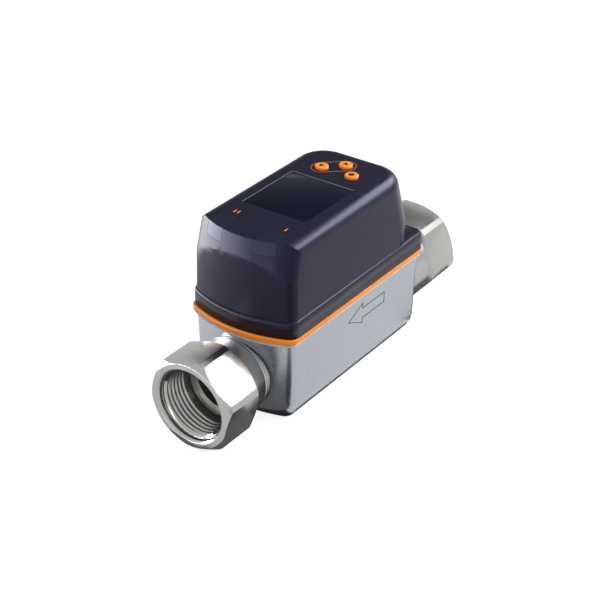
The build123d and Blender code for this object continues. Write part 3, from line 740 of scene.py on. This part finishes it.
@dataclass
class DisplayHead:
    """The dark hood with its window, buttons, printed marks and light guides."""

    shop: Workshop
    top: float = 70.5
    button_top: float = 71.4
    mark_height: float = 0.05
    window_bevel: float = 0.12
    side_button: Pair = (-14.0, 6.4)
    up_button_x: float = -19.8
    triangle_radius: float = 1.35
    triangle_shift: float = 0.1
    right_turn: float = radians(120)
    up_turn: float = radians(190)
    dot_radius: float = 1.1
    dot_sides: int = 32
    outline_radius: float = 3.9
    outline_width: float = 0.2
    outline_steps: int = 24
    pair_mark: Pair = (30.25, -10.1)
    single_mark: Pair = (31.1, 11.05)
    window_x: Pair = (23.1, -5.5)
    window_half_width: float = 13.1
    edge_width: float = 0.22
    bar_length: float = 1.9
    bar_width: float = 0.5
    bar_spacing: float = 1.5

    def build(self) -> None:
        """Make the head's pieces."""
        self.shop.refine("upper_housing", crease=FACET_ANGLE)
        self.shop.refine("base_frame")
        self.shop.refine("display_window", self.window_bevel)
        for guide in ("left_light_guide", "right_light_guide"):
            self.shop.refine(guide, crease=FACET_ANGLE)
        for button in ("right_button", "up_button", "enter_button"):
            self.shop.refine(button)
        self.symbols()
        self.marks()
        self.key_outline()
        self.window_edge_highlight()

    def symbols(self) -> None:
        """Raise a sign on each of the three buttons."""
        x, y = self.side_button
        up_x = self.up_button_x + self.triangle_shift
        signs = (
            ("right", around((x, -y), self.triangle_radius, 3, self.right_turn)),
            ("up", around((up_x, 0), self.triangle_radius, 3, self.up_turn)),
            ("enter", around((x, y), self.dot_radius, self.dot_sides)),
        )
        for name, outline in signs:
            bm = plate(outline, self.mark_height)
            bmesh.ops.translate(bm, vec=(0, 0, self.button_top), verts=bm.verts)
            self.shop.piece(f"{name}_symbol", bm, "symbol_brown", f"{name}_key", "button_plastic")

    def on_top(self, name: str, bm: bmesh.types.BMesh, finish: str, slot: str) -> None:
        """Lift a flat shape onto the hood and hand it over.

        Args:
            name: Name of the piece.
            bm: Its mesh in millimetres, standing on the plane.
            finish: Name of its finish.
            slot: The record's slot, passed on with the piece.
        """
        bmesh.ops.translate(bm, vec=(0, 0, self.top), verts=bm.verts)
        self.shop.piece(name, bm, finish, "sensor", slot)

    def bar(self, x: float, y: float) -> list[Pair]:
        """Place one printed bar.

        Args:
            x: Its centre along the sensor.
            y: Its centre across the sensor.

        Returns:
            Its corners.
        """
        across, along = self.bar_width / 2, self.bar_length / 2
        return [
            (x - along, y - across), (x + along, y - across),
            (x + along, y + across), (x - along, y + across),
        ]

    def marks(self) -> None:
        """Print the bars that number the two status lights."""
        x, y = self.pair_mark
        places = {
            "pair_mark_first": (x, y - self.bar_spacing / 2),
            "pair_mark_second": (x, y + self.bar_spacing / 2),
            "single_mark": self.single_mark,
        }
        for name, place in places.items():
            shape = plate(self.bar(*place), self.mark_height)
            self.on_top(name, shape, "printed_orange", "button_plastic")

    def key_outline(self) -> None:
        """Print the thin line round the right and up buttons."""
        x, y = self.side_button
        first = Vector((x, -y))
        second = Vector((self.up_button_x, 0.0))
        run = second - first
        start = atan2(run.y, run.x) - pi / 2
        half = [start + pi * k / self.outline_steps for k in range(self.outline_steps + 1)]
        arc = [self.outline_radius * Vector((cos(a), sin(a))) for a in half]
        outline = [tuple(second + v) for v in arc] + [tuple(first - v) for v in arc]
        shape = ribbon(outline, self.outline_width, self.mark_height)
        self.on_top("key_outline", shape, "printed_line", "button_plastic")

    def window_edge_highlight(self) -> None:
        """Lay the light line where the recess shows beside the window: a painted highlight on the
        far and left recess edges.
        """
        near, far = self.window_x
        side = self.window_half_width
        wide = self.edge_width
        outline = [
            (near, -side - wide), (near, -side), (far, -side),
            (far, side), (far - wide, side), (far - wide, -side - wide),
        ]
        # painted highlight: a thin light plate on the two recess edges that catch the light
        shape = plate(outline, self.mark_height)
        self.on_top("window_edge_highlight", shape, "painted_edge_highlight", "hood_plastic")


@dataclass(frozen=True)
class SoftBox:
    """One rectangular lamp, with its centre and size in metres and its power in watts."""

    name: str
    place: Triple
    size: Pair
    power: float
    target: Triple = (0.0, 0.0, 0.04)


@dataclass(frozen=True)
class Card:
    """One plain panel that only reflections show, with its centre and size in metres.

    A glow of 1 is white, and a glow of 0 makes it a black flag.
    """

    name: str
    place: Triple
    size: Pair
    glow: float
    target: Triple = (0.0, 0.0, 0.06)


def lying(name: str, centre: Pair, size: Pair, glow: float, lift: float = 0.0001) -> Card:
    """Lay a card on the floor, facing up.

    Args:
        name: Name of the card.
        centre: Its centre along and across the sensor, in metres.
        size: Its length and width, in metres.
        glow: Its brightness.
        lift: Its height over the floor, in metres.

    Returns:
        The card.
    """
    return Card(name, (*centre, lift), size, glow, (*centre, 1.0))


SOFT_BOXES = (
    SoftBox("side_box", (-0.50, 0.38, 0.38), (0.50, 0.32), 5.0),
    SoftBox("top_box", (0.30, 0.30, 0.80), (0.60, 0.60), 3.5),
)

CARDS = (
    Card("left_card", (0.17, -0.25, 0.034), (0.44, 0.068), 15.0),
    Card("right_card", (0.37, -0.04, 0.034), (0.30, 0.068), 6.5),
    lying("floor_card", (0.19, -0.26), (0.34, 0.20), 9.0),
    Card("side_card", (-0.52, 0.39, 0.39), (0.62, 0.34), 2.4),
    Card("edge_card", (-0.066, 0.070, 0.121), (0.15, 0.044), 14.0, (0.006, 0.019, 0.069)),
    Card("top_flag", (-0.070, -0.055, 0.127), (0.17, 0.125), 0.25),
    lying("outlet_foot_card", (0.060, 0.003), (0.030, 0.046), 0.2),
    lying("inlet_foot_card", (-0.063, 0.003), (0.044, 0.046), 0.2),
    lying("body_card", (0.003, 0.0), (0.084, 0.0405), 0.03, 0.0002),
    lying("near_corner_flag", (0.060, 0.042), (0.028, 0.034), 0.04),
    lying("far_corner_flag", (0.098, 0.092), (0.052, 0.066), 0.04),
)


@dataclass
class Studio:
    """Floor, lamps, cards, world and the camera of the photograph."""

    azimuth: float = 0.6268
    elevation: float = 0.5395
    distance: float = 582.6
    offset_right: float = -4.676
    offset_up: float = 6.007
    lens: float = 96.0
    sensor_width: float = 36.0
    floor_size: float = 6.0
    floor_level: float = -0.0002
    floor_grey: float = 0.34
    floor_glow: float = 0.74
    floor_camera_glow: float = 0.12
    world_light: float = 0.45
    world_shown: float = 1.0
    card_base: Triple = (0.004, 0.004, 0.006)

    def build(self) -> None:
        """Set up the stage."""
        self.camera()
        self.floor()
        self.world()
        for box in SOFT_BOXES:
            self.lamp(box)
        for card in CARDS:
            self.card(card)

    def camera(self) -> None:
        """Place the camera where the photograph was taken from."""
        level = cos(self.elevation)
        back = Vector((level * cos(self.azimuth), level * sin(self.azimuth), sin(self.elevation)))
        right = Vector((-sin(self.azimuth), cos(self.azimuth), 0.0))
        up = back.cross(right)
        centre = Vector((0, 0, AXIS_HEIGHT))
        place = back * self.distance + right * self.offset_right + up * self.offset_up + centre
        data = bpy.data.cameras.new("camera")
        data.lens = self.lens
        data.sensor_width = self.sensor_width
        made = bpy.data.objects.new("camera", data)
        bpy.context.scene.collection.objects.link(made)
        turn = Matrix((right, up, back)).transposed().to_4x4()
        made.matrix_world = Matrix.Translation(place * MM) @ turn
        bpy.context.scene.camera = made

    def panel(self, name: str, size: Pair, place: Triple, graph: Graph) -> bpy.types.Object:
        """Make a flat piece of the stage.

        Args:
            name: Name of the piece.
            size: Its length and width, in metres.
            place: Its centre, in metres.
            graph: Its material's graph.

        Returns:
            The panel, lying flat.
        """
        bm = bmesh.new()
        bmesh.ops.create_grid(bm, x_segments=1, y_segments=1, size=0.5)
        bmesh.ops.scale(bm, vec=(*size, 1.0), verts=bm.verts)
        mesh = bpy.data.meshes.new(name)
        bm.to_mesh(mesh)
        bm.free()
        mesh.materials.append(graph.material)
        made = bpy.data.objects.new(name, mesh)
        made.location = place
        bpy.context.scene.collection.objects.link(made)
        return made

    def floor(self) -> None:
        """Lay a plain floor that shows white and keeps the object's shadow."""
        graph = Graph("floor_white")
        grey = (self.floor_grey, self.floor_grey, self.floor_grey, 1.0)
        graph.set(Base_Color=grey, Roughness=0.9, Specular_IOR_Level=0.0)
        glow = graph.node("ShaderNodeMath", _0=graph.shown(), _1=self.floor_glow)
        glow.operation = "MULTIPLY"
        path = graph.node("ShaderNodeLightPath")
        raised = graph.node(
            "ShaderNodeMath", _0=path.outputs["Is Camera Ray"], _1=self.floor_camera_glow,
            _2=glow.outputs[0],
        )
        raised.operation = "MULTIPLY_ADD"
        graph.set(Emission_Color=(*WHITE, 1.0), Emission_Strength=raised.outputs[0])
        place = (0, 0, self.floor_level)
        self.panel("floor", (self.floor_size, self.floor_size), place, graph)

    def world(self) -> None:
        """White behind everything, and a grey studio for the light that it gives."""
        world = bpy.data.worlds.new("studio")
        bpy.context.scene.world = world
        world.use_nodes = True
        tree = world.node_tree
        ground = tree.nodes["Background"]
        path = tree.nodes.new("ShaderNodeLightPath")
        first = tree.nodes.new("ShaderNodeMath")
        second = tree.nodes.new("ShaderNodeMath")
        spread = tree.nodes.new("ShaderNodeMapRange")
        tree.links.new(path.outputs["Is Camera Ray"], first.inputs[0])
        tree.links.new(path.outputs["Is Glossy Ray"], first.inputs[1])
        tree.links.new(first.outputs[0], second.inputs[0])
        tree.links.new(path.outputs["Is Transmission Ray"], second.inputs[1])
        tree.links.new(second.outputs[0], spread.inputs[0])
        spread.inputs["To Min"].default_value = self.world_light
        spread.inputs["To Max"].default_value = self.world_shown
        tree.links.new(spread.outputs[0], ground.inputs["Strength"])
        ground.inputs["Color"].default_value = (*WHITE, 1.0)

    def card(self, card: Card) -> None:
        """Put up one card that only reflections show.

        Args:
            card: The card.
        """
        graph = Graph(card.name)
        graph.set(Base_Color=(*self.card_base, 1.0), Roughness=1.0, Specular_IOR_Level=0.0)
        graph.set(Emission_Color=(*WHITE, 1.0), Emission_Strength=card.glow)
        made = self.panel(card.name, card.size, card.place, graph)
        self.aim(made, card.place, card.target)
        made.visible_camera = False
        made.visible_diffuse = False
        made.visible_shadow = False

    def lamp(self, box: SoftBox) -> None:
        """Put up one soft box that reflections don't show.

        Args:
            box: The soft box.
        """
        data = bpy.data.lights.new(box.name, "AREA")
        data.shape = "RECTANGLE"
        data.size, data.size_y = box.size
        data.energy = box.power
        made = bpy.data.objects.new(box.name, data)
        bpy.context.scene.collection.objects.link(made)
        made.location = box.place
        made.visible_glossy = False
        self.aim(made, box.place, box.target)

    def aim(self, made: bpy.types.Object, place: Triple, target: Triple) -> None:
        """Turn a lamp or card towards a point.

        Args:
            made: The lamp or card.
            place: Its centre.
            target: The point that it faces.
        """
        way = Vector(target) - Vector(place)
        made.rotation_euler = way.to_track_quat("-Z", "Y").to_euler()


def main() -> None:
    """Build the studio and every piece."""
    logging.basicConfig(level=logging.INFO, format="%(message)s")
    bpy.context.scene.view_settings.view_transform = "Standard"
    Studio().build()
    shop = Workshop()
    FlowBody(shop).build()
    PortThread(shop, "outlet_adapter", 71.2, -1).build()
    PortThread(shop, "inlet_adapter", -71.2, 1).build()
    DisplayHead(shop).build()


if __name__ == "__main__":
    main()
